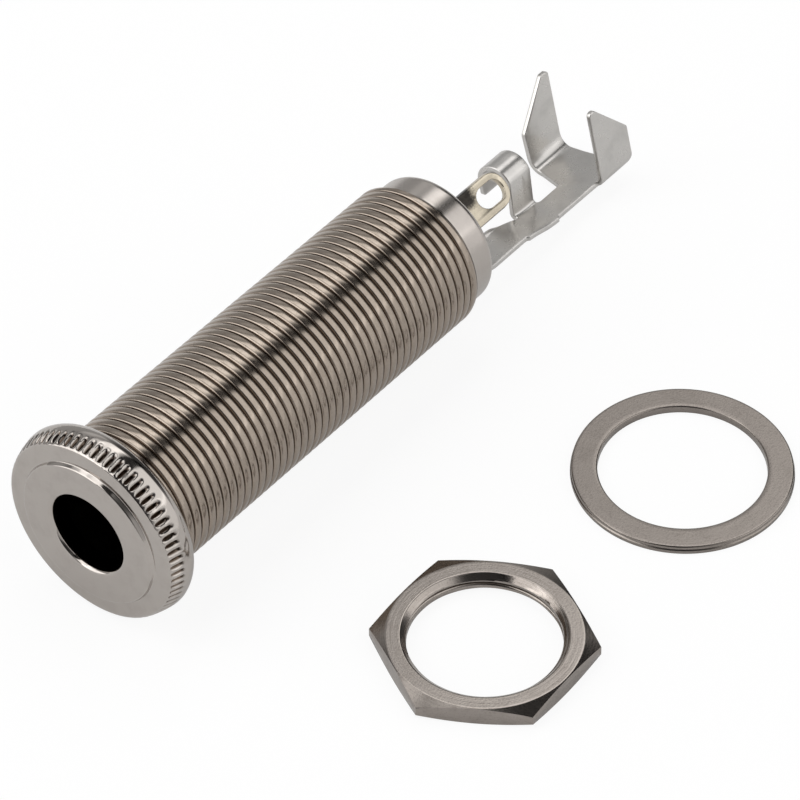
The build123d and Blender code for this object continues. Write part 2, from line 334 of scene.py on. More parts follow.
seen = room.node("ShaderNodeLightPath", None, None, "Is Camera Ray")
backdrop = room.node("ShaderNodeBackground", None, {"Color": WHITE, "Strength": 1.0})
studio = room.node("ShaderNodeBackground", None, {"Color": WHITE, "Strength": glow})
shown = room.node("ShaderNodeMixShader", None, {0: seen, 1: studio, 2: backdrop})
room.finish_with("ShaderNodeOutputWorld", shown)
print("room painted with", len(room.tree.nodes), "nodes")

# %% [markdown]
# ## The front light
# A painted room lights nearly evenly, so one real lamp is added at the front left. It
# gives the soft shadow on the bench and a sheen on the flange. A wide soft box is used,
# because a small lamp would draw hard shadows that the photograph doesn't have.

# %% A soft box at the front left
BOX_WIDE, BOX_HIGH = 0.85, 0.6
BOX_DISTANCE = 1.0
BOX_RADIANCE = 1.7
BOX_AZIMUTH, BOX_ELEVATION = 138, 20

lamp = bpy.data.lights.new("front_light", "AREA")
lamp.shape = "RECTANGLE"
lamp.size = BOX_WIDE
lamp.size_y = BOX_HIGH
lamp.energy = BOX_RADIANCE * math.pi * BOX_WIDE * BOX_HIGH
box_way = compass(BOX_AZIMUTH, BOX_ELEVATION)
box_facing = box_way.to_track_quat("Z", "Y").to_matrix().to_4x4()
front_light = put_in_scene("front_light", lamp)
front_light.matrix_world = Matrix.Translation(box_way * BOX_DISTANCE) @ box_facing
front_light.visible_camera = False
print("front light, W:", round(lamp.energy, 2))

# %% [markdown]
# ## The bench
# The jack lies on white paper, which has to look white and still hold a shadow. More
# light would burn out the metal. So most of what the camera sees of the paper is a plain
# white glow, and the rest is real paper, which darkens where the jack shades it. Metal
# that mirrors the paper gets a weaker share of the glow.

# %% White paper
REACH = 2.0
PAPER_WHITE = 1.03
GLOW_TO_CAMERA = 0.88
GLOW_TO_MIRRORS = 0.27
PAPER_GRAIN = 400.0

bench_corners = [(-REACH, -REACH, 0), (REACH, -REACH, 0), (REACH, REACH, 0), (-REACH, REACH, 0)]
bench_mesh = bpy.data.meshes.new("bench")
bench_mesh.from_pydata(bench_corners, [], [(0, 1, 2, 3)])
bench = put_in_scene("bench", bench_mesh)

paper = Finish(bpy.data.materials.new("white_paper"))
direct = paper.node("ShaderNodeLightPath", None, None, "Is Camera Ray")
shiny = paper.node("ShaderNodeLightPath", None, None, "Is Glossy Ray")
through = paper.node("ShaderNodeLightPath", None, None, "Is Transmission Ray")
glow_share = (direct * GLOW_TO_CAMERA).larger(shiny.larger(through) * GLOW_TO_MIRRORS)
fibres = paper.noise(paper.node("ShaderNodeTexCoord", None, None, "Object"), PAPER_GRAIN)
pale = paper.blend(fibres, (0.80, 0.80, 0.80, 1), (0.83, 0.83, 0.83, 1))
sheet = paper.node("ShaderNodeBsdfPrincipled", None, {"Base Color": pale, "Roughness": 0.9})
glowing = paper.node("ShaderNodeEmission", None, {"Color": WHITE, "Strength": PAPER_WHITE})
mixed = paper.node("ShaderNodeMixShader", None, {0: glow_share, 1: sheet, 2: glowing})
paper.finish_with("ShaderNodeOutputMaterial", mixed)
bench_mesh.materials.append(paper.owner)
print("bench, m:", 2 * REACH, "wide")

# %% [markdown]
# ## Skins made of rings
# Turned pieces are skins stretched over rings of points. A plain ring lies square to the
# axis. A thread's ring climbs by one pitch in a turn, so its end meets the next ring's
# start. Both are drawn as open rows, one point longer than they are wide, and the seam
# closes itself when points in one place are merged. Blender's Screw modifier could sweep
# a thread, but it couldn't join it to the flange and the shoulder as rows can.

# %% Rows of points
WHOLE_TURN = 2 * math.pi


def once_round(steps):
    """Angles of one open turn, so the last one lies on the first."""
    return np.linspace(0, WHOLE_TURN, steps + 1)


def row(axial, radius, angles):
    """Points about X: axial and radius may be numbers or one value per angle."""
    axial = np.broadcast_to(axial, angles.shape)
    radius = np.broadcast_to(radius, angles.shape)
    return np.stack([axial, radius * np.sin(angles), radius * np.cos(angles)], 1)


def rings(section, angles):
    """One row for each (axial, radius) pair of a section."""
    return [row(axial, radius, angles) for axial, radius in section]


def arc(centre, radius, start, stop, steps):
    """Points of a rounded edge, as (axial, radius) pairs; angles in degrees."""
    angles = np.radians(np.linspace(start, stop, steps + 1))
    return [(centre[0] + radius * math.cos(a), centre[1] + radius * math.sin(a)) for a in angles]


def ease(value, low, high):
    """0 below low, 1 above high, and a smooth step between them."""
    share = np.clip((value - low) / (high - low), 0, 1)
    return share * share * (3 - 2 * share)


print("a quarter round of 4 steps has", len(arc((0, 0), 1, 0, 90, 4)), "points")

# %% [markdown]
# Faces are stretched from one row to the next. The toothed rim needs many more points
# than the bore, so a row may have a whole multiple of its neighbour's steps. Then points
# in one place are merged, and every face is shaded smooth, but for true edges.

# %% Rows into a closed skin
SAME_PLACE = 0.0005
TURNED_EDGE = 32


def band(n, m, a, b):
    """Faces between a row of n steps, from point a on, and one of m steps, from point b on."""
    if n >= m:
        per = n // m
        return [(*range(a + j * per, a + j * per + per + 1), b + j + 1, b + j) for j in range(m)]
    per = m // n
    return [(a + j, a + j + 1, *range(b + j * per + per, b + j * per - 1, -1)) for j in range(n)]


def clean(mesh, sharp_above):
    """Merge points in one place, turn faces outward and smooth what isn't an edge."""
    work = bmesh.new()
    work.from_mesh(mesh)
    bmesh.ops.remove_doubles(work, verts=work.verts, dist=SAME_PLACE * MM)
    bmesh.ops.triangulate(work, faces=[face for face in work.faces if len(face.verts) > 4])
    bmesh.ops.recalc_face_normals(work, faces=work.faces)
    for face in work.faces:
        face.smooth = True
    limit = math.radians(sharp_above)
    for edge in work.edges:
        edge.smooth = len(edge.link_faces) == 2 and edge.calc_face_angle() < limit
    work.to_mesh(mesh)
    work.free()
    print(mesh.name, "faces:", len(mesh.polygons))


def skin(name, rows, place):
    """Stretch faces between rows of points, in the drawing's mm, and carry them to their place."""
    starts = np.cumsum([0] + [len(points) for points in rows]).tolist()
    faces = []
    for first, second, a, b in zip(rows, rows[1:], starts, starts[1:]):
        faces += band(len(first) - 1, len(second) - 1, a, b)
    mesh = bpy.data.meshes.new(name)
    mesh.from_pydata((np.concatenate(rows) * MM).tolist(), [], faces)
    mesh.transform(place)
    clean(mesh, TURNED_EDGE)
    return put_in_scene(name, mesh)


# %% [markdown]
# ## The barrel
# The real barrel is turned from bar, its rim is pressed with straight teeth, and the fine
# thread is cut along nearly its whole length. A bump map would leave the outline smooth,
# so thread and teeth are real geometry, drawn in one skin with the bore and the chamber,
# as one piece of metal. The rows go once round the section. They start in the chamber,
# where the stack of wafers sits, and come out through the bore, whose mouth is rounded.
# Straight stretches get a few rings on their way, so that no face is long and thin.

# %% The chamber, the bore and its mouth
STACK_END = 39.4
LIP_R = 4.5
CHAMBER_R = 4.85
BORE_END = 9.0
BORE_R = 3.225
BORE_BREAK = 0.3
MOUTH_ROLL = 0.35

bore_section = [(STACK_END, LIP_R), (STACK_END, CHAMBER_R), (BORE_END, CHAMBER_R)]
bore_section += [(BORE_END, BORE_R + BORE_BREAK), (BORE_END - BORE_BREAK, BORE_R)]
bore_section += [(4.5, BORE_R), (1.5, BORE_R)]
bore_section += arc((MOUTH_ROLL - DISC_HEIGHT, BORE_R + MOUTH_ROLL), MOUTH_ROLL, 270, 180, 8)
print("bore section:", len(bore_section), "rings")

# %% [markdown]
# The front carries a low raised disc. Its edge is rounded, and its flank leans outward to
# a small round foot. The edge mirrors the front left light at its upper left, and the
# dark side at its lower right: so the crescent is a reflection, and isn't painted.

# %% The raised disc and the flange's face
DISC_FLAT_R = 5.7
DISC_ROLL = 0.16
FOOT_R = 6.01
FOOT_ROLL = 0.1
FLANK_LEAN = 22

face_section = [(-DISC_HEIGHT, radius) for radius in (4.2, 5.0, 5.66)]
face_section += arc((DISC_ROLL - DISC_HEIGHT, DISC_FLAT_R), DISC_ROLL, 180, 90 + FLANK_LEAN, 7)
face_section += arc((-FOOT_ROLL, FOOT_R), FOOT_ROLL, 270 + FLANK_LEAN, 360, 5)
face_section += [(0, radius) for radius in (6.4, 6.9, 7.12)]
print("face section:", len(face_section), "rings")

# %% [markdown]
# A wheel with straight teeth was rolled over the front of the rim, so that fingers can
# hold it. The photograph shows 75 teeth, whose grooves fade in at the face and out again
# before the crest. Each row of the rim is pushed in by its own share of a groove's depth,
# so the teeth grow out of the same skin, and their ends stay soft.

# %% The knurled rim
TEETH = 75
TOOTH_STEPS = 8
TOOTH_DEPTH = 0.26
GROOVE_STEEPNESS = 3.4
GROOVE_FULLNESS = 0.8
# axial place, radius, share of the groove's depth
RIM = (
    (0.02, 7.22, 0.0), (0.07, 7.3, 0.0), (0.15, 7.365, 0.1), (0.23, 7.405, 0.5),
    (0.33, 7.44, 0.88), (0.5, 7.495, 1.0), (0.75, 7.57, 1.0), (0.95, 7.62, 0.9),
    (1.12, 7.66, 0.65), (1.24, 7.685, 0.3), (1.33, 7.7, 0.0),
)

fine = once_round(TEETH * TOOTH_STEPS)
from_groove = np.abs((fine / WHOLE_TURN * TEETH) % 1.0 - 0.5)
groove = np.clip(1.0 - from_groove * GROOVE_STEEPNESS, 0, 1) ** GROOVE_FULLNESS
rim_rows = [row(axial, radius - TOOTH_DEPTH * share * groove, fine) for axial, radius, share in RIM]
print("teeth:", TEETH, "of", round(WHOLE_TURN * FLANGE_R / TEETH, 2), "mm")

# %% [markdown]
# Behind the teeth the rim swells to its crest and rounds off to a flat back, which pulls
# up against the panel. The back runs down to the outside of the thread.

# %% The flange's crest and back
FLANGE_BACK = 2.75
THREAD_R = 5.953

back_section = [
    (1.5, 7.735), (FLANGE_CREST, FLANGE_R), (1.9, 7.75), (2.1, 7.69), (2.3, 7.6),
    (2.48, 7.48), (2.62, 7.35), (2.71, 7.24),
]
back_section += [(FLANGE_BACK, radius) for radius in (7.1, 6.6, 6.1, THREAD_R)]
print("back section:", len(back_section), "rings")

# %% [markdown]
# The thread has 32 turns to the inch. Its worn and plated crests are broad and a little
# crowned, and its grooves are narrow, so light draws fine bright and dark lines side by
# side. One turn's form is a short list of depths. Rows at those depths climb from turn
# to turn, are flattened where the thread meets the flange, and run out down a cone.

# %% The cut thread
PITCH = 25.4 / 32
ROOT_R = 5.69
SHOULDER_R = 5.4
THREAD_END = 37.0
THREAD_STEPS = 75
RUN_IN = 0.8 * PITCH
# share of a pitch, share of the thread's depth
THREAD_FORM = (
    (0.0, 0.0), (0.11, 0.012), (0.21, 0.045), (0.285, 0.095), (0.335, 0.155), (0.37, 0.24),
    (0.4, 0.38), (0.435, 0.62), (0.475, 0.88), (0.5, 1.0), (0.525, 0.88), (0.565, 0.62),
    (0.6, 0.38), (0.63, 0.24), (0.665, 0.155), (0.715, 0.095), (0.79, 0.045), (0.89, 0.012),
)


def thread_rows(angles):
    """Climbing rows, between the flange's back and the point where the cone ends."""
    start, stop = FLANGE_BACK, THREAD_END + THREAD_R - SHOULDER_R
    rows = []
    for turn in range(int((stop - start) / PITCH) + 3):
        for share, depth in THREAD_FORM:
            axial = start + PITCH * (turn - 1 + angles / WHOLE_TURN + share)
            inside = np.clip(axial, start, stop)
            cut = (THREAD_R - ROOT_R) * depth * ease(inside, start, start + RUN_IN)
            radius = np.minimum(THREAD_R - cut, SHOULDER_R + (stop - inside))
            rows.append(row(inside, np.where(inside >= stop, SHOULDER_R, radius), angles))
    return rows


coarse = once_round(THREAD_STEPS)
print("pitch, mm:", round(PITCH, 3))

# %% [markdown]
# Behind the thread comes a smooth shoulder with a round end, and a lip that was rolled
# inward over the stack. There the section closes, and one skin takes all its rows.

# %% The shoulder, and the barrel in one skin
BARREL_END = 39.9
SHOULDER_ROLL = 0.7
LIP_BREAK = 0.06

shoulder_section = [(THREAD_END + 0.75, SHOULDER_R), (38.4, SHOULDER_R), (39.1, SHOULDER_R)]
shoulder_centre = (BARREL_END - SHOULDER_ROLL, SHOULDER_R - SHOULDER_ROLL)
shoulder_section += arc(shoulder_centre, SHOULDER_ROLL, 90, 0, 12)
shoulder_section += [(BARREL_END, 4.62), (BARREL_END, LIP_R + LIP_BREAK)]
shoulder_section += [(BARREL_END - LIP_BREAK, LIP_R), (STACK_END, LIP_R)]

barrel_rows = rings(bore_section, coarse) + rings(face_section, fine) + rim_rows
barrel_rows += rings(back_section, fine) + thread_rows(coarse) + rings(shoulder_section, coarse)
barrel = skin("barrel_with_thread", barrel_rows, jack_place)
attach(barrel, "jack")
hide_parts("threaded_barrel")

# %% [markdown]
# ## The nut
# A thin panel nut is cut from hexagon bar. Both faces are turned flat, which rounds off
# the six corners. A boolean cut of a prism and a cone could make it, but its edges would
# need mending. Here the rings themselves are hexagons, and the turned corner lies on a
# slope from the round face to the side, so each arc in the photograph comes by itself.

# %% The outside of the nut
NUT_HALF_FLATS = 7.145
NUT_THICKNESS = 1.535
NUT_FACE_R = 7.05
NUT_CORNER_DROP = 0.39
NUT_MOUTH_R = 5.96
NUT_RELIEF = 0.02
NUT_BREAK = 0.03
FACE_BREAK = 0.006
CORNER_SHARES = (0.05, 0.5, 0.92, 0.98)
NUT_STEPS = 360
SECTOR = math.radians(60)

nut_angles = once_round(NUT_STEPS)
side = NUT_HALF_FLATS / np.cos(nut_angles % SECTOR - SECTOR / 2) - NUT_RELIEF
slope = NUT_CORNER_DROP / (NUT_HALF_FLATS / math.cos(SECTOR / 2) - NUT_FACE_R)
corner = np.maximum(side - NUT_FACE_R, 0) * slope
nut_face = [(0, NUT_FACE_R - 0.05), (FACE_BREAK, NUT_FACE_R)]
for share in CORNER_SHARES:
    nut_face.append((FACE_BREAK + corner * share, NUT_FACE_R + (side - NUT_FACE_R) * share))
nut_face.append((corner + NUT_BREAK, side))
nut_outside = [(0, NUT_MOUTH_R), (0, 6.4)] + nut_face
nut_outside += [(NUT_THICKNESS - depth, radius) for depth, radius in reversed(nut_face)]
for radius in (NUT_FACE_R - 0.12, 6.4, NUT_MOUTH_R + 0.12, NUT_MOUTH_R + 0.06):
    nut_outside.append((NUT_THICKNESS, radius))
print("corner to corner, mm:", round(2 * side.max(), 2))

# %% [markdown]
# The hole is chamfered at both ends and carries the barrel's thread form, now cut
# outward. The nut is drawn about its own axis and then stood up, so the same rows serve.

# %% The threaded hole, and the nut in one skin
NUT_MINOR_R = 5.55
NUT_TURNS = 5
NUT_TWIST = math.radians(1.5)
CHAMFER_SLOPE = 1.1
HOLE_TOP = NUT_THICKNESS - 0.02


def bench_place(node, turn):
    """A frame whose X stands upright in the middle of a piece that lies flat."""
    low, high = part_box(node)
    middle = Vector(((low.x + high.x) / 2, (low.y + high.y) / 2, 0))
    upright = Matrix.Rotation(math.radians(-90), 4, "Y")
    return Matrix.Translation(middle) @ Matrix.Rotation(turn, 4, "Z") @ upright


nut_rows = rings(nut_outside + [(HOLE_TOP, NUT_MOUTH_R)], nut_angles)
for turn in range(NUT_TURNS):
    for share, depth in THREAD_FORM:
        axial = HOLE_TOP - PITCH * (turn - 1 + nut_angles / WHOLE_TURN + share)
        inside = np.clip(axial, 0, HOLE_TOP)
        thread = NUT_MINOR_R + (THREAD_R - NUT_MINOR_R) * depth
        chamfer = NUT_MOUTH_R - np.minimum(HOLE_TOP - inside, inside) * CHAMFER_SLOPE
        at_end = (inside <= 0) | (inside >= HOLE_TOP)
        radius = np.where(at_end, NUT_MOUTH_R, np.maximum(thread, chamfer))
        nut_rows.append(row(inside, radius, nut_angles))
nut_place = bench_place("hex_nut", NUT_TWIST)
nut = skin("hexagon_nut", nut_rows, nut_place)
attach(nut, "jack")
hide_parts("hex_nut")

# %% [markdown]
# ## The washer
# The washer is punched from sheet. The punch rolls the upper edges over, shears the wall
# clean, and tears the last third, where the metal gives way. The section is drawn with
# all three, because the thin line round the washer's edge is that change of surface.

# %% The flat washer
WASHER_R = 8.2
WASHER_HOLE_R = 6.203
WASHER_TOP = 0.65
PUNCH_ROLL = 0.13
BURR = 0.05
SHEARED_R = WASHER_R - 0.07
WASHER_STEPS = 240

washer_angles = once_round(WASHER_STEPS)
washer_section = [(WASHER_TOP, radius) for radius in (6.6, 7.2, WASHER_R - 0.3)]
washer_section += arc((WASHER_TOP - PUNCH_ROLL, SHEARED_R - PUNCH_ROLL), PUNCH_ROLL, 0, 80, 6)
washer_section += [(0.4, SHEARED_R), (0.36, SHEARED_R - 0.025), (0.32, SHEARED_R + 0.01)]
washer_section += [(0.28, WASHER_R - 0.015)]
washer_section += arc((BURR, WASHER_R - BURR), BURR, 90, 180, 3)
washer_section += [(0, 7.2), (0, 6.6)]
washer_section += arc((BURR, WASHER_HOLE_R + BURR), BURR, 180, 270, 3)
hole_centre = (WASHER_TOP - PUNCH_ROLL, WASHER_HOLE_R + PUNCH_ROLL)
washer_section += arc(hole_centre, PUNCH_ROLL, 270, 360, 6) + washer_section[:1]
washer_place = bench_place("flat_washer", 0.0)
washer = skin("flat_washer_rounded", rings(washer_section, washer_angles), washer_place)
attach(washer, "jack")
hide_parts("flat_washer")

# %% [markdown]
# ## Plates cut from a blank
# The two lugs are stamped from sheet. Each is made here as it is made in the press: a flat
# plate is cut to the blank's outline, its edges are softened while it is still flat, and
# then every point is carried onto the folded form. So each bend stays a true round bend,
# each wing stays flat, and light catches the whole edge, as it does on stamped metal.

# %% Rounded outlines and bent lines
CORNER_STEPS = 6
BEND_STEPS = 12


def unit(vector):
    return vector / np.linalg.norm(vector)


def round_corner(before, corner, after, radius, steps):
    """Points of the arc that replaces one corner of a line."""
    inward, outward = unit(corner - before), unit(after - corner)
    turn = math.acos(np.clip(inward @ outward, -1, 1))
    hand = math.copysign(1, inward[0] * outward[1] - inward[1] * outward[0])
    normal = hand * np.array([-inward[1], inward[0]])
    start = corner - inward * radius * math.tan(turn / 2)
    return [
        start + normal * radius * (1 - math.cos(angle)) + inward * radius * math.sin(angle)
        for angle in np.linspace(0, turn, steps + 1)
    ]


def blank_outline(corners):
    """A closed outline from (x, y, radius) corners, given counterclockwise."""
    places = [np.array(corner[:2], float) for corner in corners]
    points = []
    for k, (*_, radius) in enumerate(corners):
        if radius > 0:
            after = places[(k + 1) % len(places)]
            points += round_corner(places[k - 1], places[k], after, radius, CORNER_STEPS)
        else:
            points.append(places[k])
    return np.array(points)


def bent_line(corners):
    """An open line from (x, y, radius) corners, with many points on each bend."""
    places = [np.array(corner[:2], float) for corner in corners]
    points = [places[0]]
    for before, place, after, (*_, radius) in zip(places, places[1:], places[2:], corners[1:]):
        points += round_corner(before, place, after, radius, BEND_STEPS)
    return np.array(points + [places[-1]])


rounded_square = blank_outline([(0, 0, 1), (9, 0, 1), (9, 9, 1), (0, 9, 1)])
print("a rounded square has", len(rounded_square), "points")

# %% [markdown]
# The plate's side is a stack of loops. Each loop is the outline moved inward a little, so
# that the upper and lower edges come out round.

# %% The rounded side of a plate
EDGE_ANGLES = (90, 60, 30, 0)


def inset(outline, distance):
    """The outline moved inwards."""
    before = np.roll(outline, 1, 0) - outline
    after = np.roll(outline, -1, 0) - outline
    before /= -np.linalg.norm(before, axis=1)[:, None]
    after /= np.linalg.norm(after, axis=1)[:, None]
    first = np.stack([-before[:, 1], before[:, 0]], 1)
    second = np.stack([-after[:, 1], after[:, 0]], 1)
    share = 1 + (first * second).sum(1)
    return outline + distance * (first + second) / share[:, None]


def side_loops(work, outline, thickness, soft):
    """The side along one outline; gives back its loops of points, from the top down."""
    levels = []
    for angle in np.radians(EDGE_ANGLES):
        height = thickness / 2 - soft + soft * math.sin(angle)
        levels.append((inset(outline, soft * (1 - math.cos(angle))), height))
    levels += [(points, -height) for points, height in reversed(levels)]
    loops = [[work.verts.new((*point, height)) for point in points] for points, height in levels]
    for upper, lower in zip(loops, loops[1:]):
        for k in range(len(upper)):
            work.faces.new((upper[k - 1], upper[k], lower[k], lower[k - 1]))
    return loops


print("loops in a side:", 2 * len(EDGE_ANGLES))

# %% [markdown]
# The faces are filled between the sides, and cut along every line where the plate will
# bend, because a face without points there would stay flat. Then each point is carried.

# %% A plate, cut where it will bend and carried into form
def cut_across(work, axis, at, low, high):
    """Cut the faces that reach into the span from low to high, along one line."""
    normal, other = ((1, 0, 0), 1) if axis == "x" else ((0, 1, 0), 0)
    near = []
    for face in work.faces:
        reach = [vertex.co[other] for vertex in face.verts]
        if max(reach) > low and min(reach) < high:
            near.append(face)
    geometry = {part for face in near for part in (face, *face.edges, *face.verts)}
    bmesh.ops.bisect_plane(work, geom=list(geometry), plane_co=Vector(normal) * at, plane_no=normal)


def plate(outlines, thickness, soft, cuts, carry):
    """Plate of one outline and its holes, cut along (axis, place, low, high) lines and carried."""
    work = bmesh.new()
    sides = [side_loops(work, outline, thickness, soft) for outline in outlines]
    for rims in ([loops[0] for loops in sides], [loops[-1] for loops in sides]):
        edges = [work.edges.get((rim[k - 1], rim[k])) for rim in rims for k in range(len(rim))]
        bmesh.ops.triangle_fill(work, use_beauty=True, use_dissolve=False, edges=edges)
    for cut in cuts:
        cut_across(work, *cut)
    bmesh.ops.triangulate(work, faces=[face for face in work.faces if len(face.verts) > 4])
    flat = np.array([vertex.co for vertex in work.verts])
    for vertex, point in zip(work.verts, carry(*flat.T)):
        vertex.co = point * MM
    return work


# %% [markdown]
# A worked plate is cleaned like a skin. Its fold lines must stay smooth, so only a turn of
# more than 50 degrees counts as an edge. Then it stands in for the lug of the CAD pack.

# %% A worked plate into a piece
STAMPED_EDGE = 50


def plate_piece(name, node, work, place):
    """Turn a worked plate into the piece that stands for a CAD node."""
    mesh = bpy.data.meshes.new(name)
    work.to_mesh(mesh)
    work.free()
    mesh.transform(place)
    clean(mesh, STAMPED_EDGE)
    piece = put_in_scene(name, mesh)
    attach(piece, frame["nodes"][node]["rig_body"])
    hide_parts(node)
    return piece


# %% [markdown]
# ## The ground strip, its hook and its clamp
# One blank makes the strip, a hook that curls up from the strip's left edge, and a clamp
# with two open wings. Across the strip there are two sections to fold onto: the hook's,
# with its round arch, and the clamp's, with a tight fold on the right and a wider one on
# the left. Along the strip there is the side view, with its ramp and its kink.

# %% Sections of the ground strip
SHEET = 0.42
STRIP_LEVEL = -5.29
STRIP_RIGHT, STRIP_LEFT = -1.79, 1.14
CLAMP_LEFT = 4.69
TIGHT_FOLD, WIDE_FOLD = 0.51, 1.25
ARCH_MIDDLE = (2.85, -2.4)
ARCH_R = 1.47
HOOK_TIP = (4.32, -3.72)

strip_side = bent_line([
    (38.98, -3.59, 0), (40.4, -3.59, 4.0), (43.2, -4.79, 4.0), (48.0, -4.79, 9.0),
    (50.6, STRIP_LEVEL, 9.0), (62.0, STRIP_LEVEL, 0),
])
clamp_section = bent_line([
    (STRIP_RIGHT, 2.15, 0), (STRIP_RIGHT, STRIP_LEVEL, TIGHT_FOLD),
    (CLAMP_LEFT, STRIP_LEVEL, WIDE_FOLD), (CLAMP_LEFT, 2.65, 0),
])
arch_angles = np.radians(np.linspace(165, 0, 23))
arch = np.array(ARCH_MIDDLE) + ARCH_R * np.stack([np.cos(arch_angles), np.sin(arch_angles)], 1)
hook_foot = bent_line([
    (STRIP_RIGHT, STRIP_LEVEL, 0), (1.756, STRIP_LEVEL, TIGHT_FOLD), (*arch[0], 0),
])
hook_section = np.concatenate([hook_foot[:-1], arch, [HOOK_TIP]])
print("points along the strip:", len(strip_side), "and over the hook:", len(hook_section))

# %% [markdown]
# A section is a path. A point of the blank keeps its length along that path when the
# sheet is folded, so folding is a look-up: length in, place and heading out.

# %% Lengths along a section
def unrolled(section, zero_at):
    """Length along a section, which on the flat blank equals the first coordinate of zero_at."""
    pieces = np.linalg.norm(np.diff(section, axis=0), axis=1)
    lengths = np.concatenate([[0], np.cumsum(pieces)])
    nearest = np.argmin(np.hypot(section[:, 0] - zero_at[0], section[:, 1] - zero_at[1]))
    return lengths - lengths[nearest] + zero_at[0]


def fold_onto(section, lengths, at):
    """Place and heading on a section at these lengths."""
    across, up = np.gradient(section[:, 0], lengths), np.gradient(section[:, 1], lengths)
    heading = np.unwrap(np.arctan2(up, across))
    return (np.interp(at, lengths, part) for part in (section[:, 0], section[:, 1], heading))


clamp_lengths = unrolled(clamp_section, (STRIP_RIGHT + TIGHT_FOLD, STRIP_LEVEL))
hook_lengths = unrolled(hook_section, (STRIP_RIGHT, STRIP_LEVEL))
hook_reach = hook_lengths[-1]
wing_reach = clamp_lengths[[0, -1]]
print("hook reaches", hook_reach.round(2), "wings reach", wing_reach.round(2))

# %% [markdown]
# The blank below is what the press would cut: a strip with one narrow tongue for the hook
# and two cut wings. Its points go across the strip on their section first. The strip's
# own ramp then lifts them, but only near the strip, so that hook and wings stay upright.

# %% The blank of the ground strip
HOOK_TO_CLAMP = 53.6
LIFT_FADE = 1.5
SHEET_EDGE = 0.09

STRIP_BLANK = blank_outline([
    (38.98, -1.46, 0.1), (47.6, -1.46, 0.1), (47.78, -1.66, 0.1), (51.32, -1.66, 0.1),
    (51.5, -1.46, 0.1), (56.5, -1.46, 0.06), (56.5, -8.01, 0.35), (57.1, -8.01, 0.35),
    (60.4, -4.71, 0.35), (60.4, -2.08, 0.45), (59.8, -1.45, 0.3), (59.62, 0.4, 3.0),
    (59.62, 2.2, 3.0), (59.8, 5.2, 3.0), (59.8, 11.1, 0.35), (58.95, 11.1, 0.35),
    (55.85, 7.44, 0.5), (55.95, 5.2, 0.8), (55.8, 3.5, 1.2), (54.9, STRIP_LEFT, 0.15),
    (52.3, STRIP_LEFT, 0.3), (52.3, hook_reach, 0.25), (49.8, hook_reach, 0.25),
    (49.8, STRIP_LEFT, 0.12), (49.5, STRIP_LEFT, 0.15), (46.9, 2.2, 1.5), (38.98, 2.2, 0.1),
])
side_heading = np.arctan(np.gradient(strip_side[:, 1], strip_side[:, 0]))


def carry_strip(along, across, up):
    """Take points of the flat blank to their place on the folded strip."""
    is_hook = along < HOOK_TO_CLAMP
    hook = fold_onto(hook_section, hook_lengths, across)
    clamp = fold_onto(clamp_section, clamp_lengths, across)
    side, height, turn = (np.where(is_hook, a, b) for a, b in zip(hook, clamp))
    on_strip = 1 - ease(across, STRIP_LEFT, STRIP_LEFT + LIFT_FADE)
    lift = (np.interp(along, strip_side[:, 0], strip_side[:, 1]) - STRIP_LEVEL) * on_strip
    lean = np.interp(along, strip_side[:, 0], side_heading) * on_strip
    return np.stack([
        along - up * np.sin(lean),
        side - up * np.sin(turn),
        height + lift + up * np.cos(turn) * np.cos(lean),
    ], 1)


print("corners of the blank rounded to", len(STRIP_BLANK), "points")

# %% [markdown]
# The cuts follow the bends: across the strip for its ramp, and along it for the folds,
# the hook's arch and the wings.

# %% The ground strip, folded
RAMP_SPAN = (-3, 3)
HOOK_SPAN = (49, HOOK_TO_CLAMP)
CLAMP_SPAN = (HOOK_TO_CLAMP, 61)
STRIP_LEAN = math.radians(-14)

strip_cuts = [("x", at, *RAMP_SPAN) for at in strip_side[1:-1, 0]]
strip_cuts += [("x", at, *RAMP_SPAN) for at in np.arange(41.9, HOOK_TO_CLAMP, 0.65)]
strip_cuts += [("x", HOOK_TO_CLAMP, *RAMP_SPAN)]
strip_cuts += [("y", at, 38, HOOK_TO_CLAMP) for at in np.arange(-1.3, 2.2, 0.5)]
strip_cuts += [("y", at, *CLAMP_SPAN) for at in clamp_lengths[1:-1]]
strip_cuts += [("y", at, *HOOK_SPAN) for at in hook_lengths[1:-1]]
strip_cuts += [("y", at, *CLAMP_SPAN) for at in (-2.2, -1.2, 3.7, 5.3)]
ground_work = plate([STRIP_BLANK], SHEET, SHEET_EDGE, strip_cuts, carry_strip)
ground_place = jack_place @ Matrix.Rotation(STRIP_LEAN, 4, "X")
strip = plate_piece(
    "ground_strip_and_clamp", "ground_lug", ground_work, ground_place
)

# %% [markdown]
# The strip's root is a ring that the barrel's lip presses against the wafers. It is hidden, but the
# piece is a real part, so the ring is there.

# %% The ring at the strip's root
RING_STEPS = 72

ring_section = [(38.98, 3.0), (38.98, 4.8), (39.4, 4.8), (39.4, 3.0), (38.98, 3.0)]
ring = skin("ground_ring", rings(ring_section, once_round(RING_STEPS)), jack_place)
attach(ring, "jack")
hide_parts("ground_lug")

# %% [markdown]
# ## The tip lug
# A short blade with a round end and a slot for the wire. Its shoulders sit between the wafers. The
# visible blade is pressed into a shallow gutter, which stiffens it, and which is why its left half
# mirrors the dark side of the room and its right half the bench. Its left half is also painted
# dark, as a painted dark reflection.

# %% The slotted blade
GUTTER = 0.2
BLADE_MIDDLE = -0.12
BLADE_HALF = 1.46
BLADE_LEVEL = 0.25
GUTTER_SINK = 0.35
BLADE_SHEET, BLADE_EDGE = 0.5, 0.07
TIP_LEAN = math.radians(40)

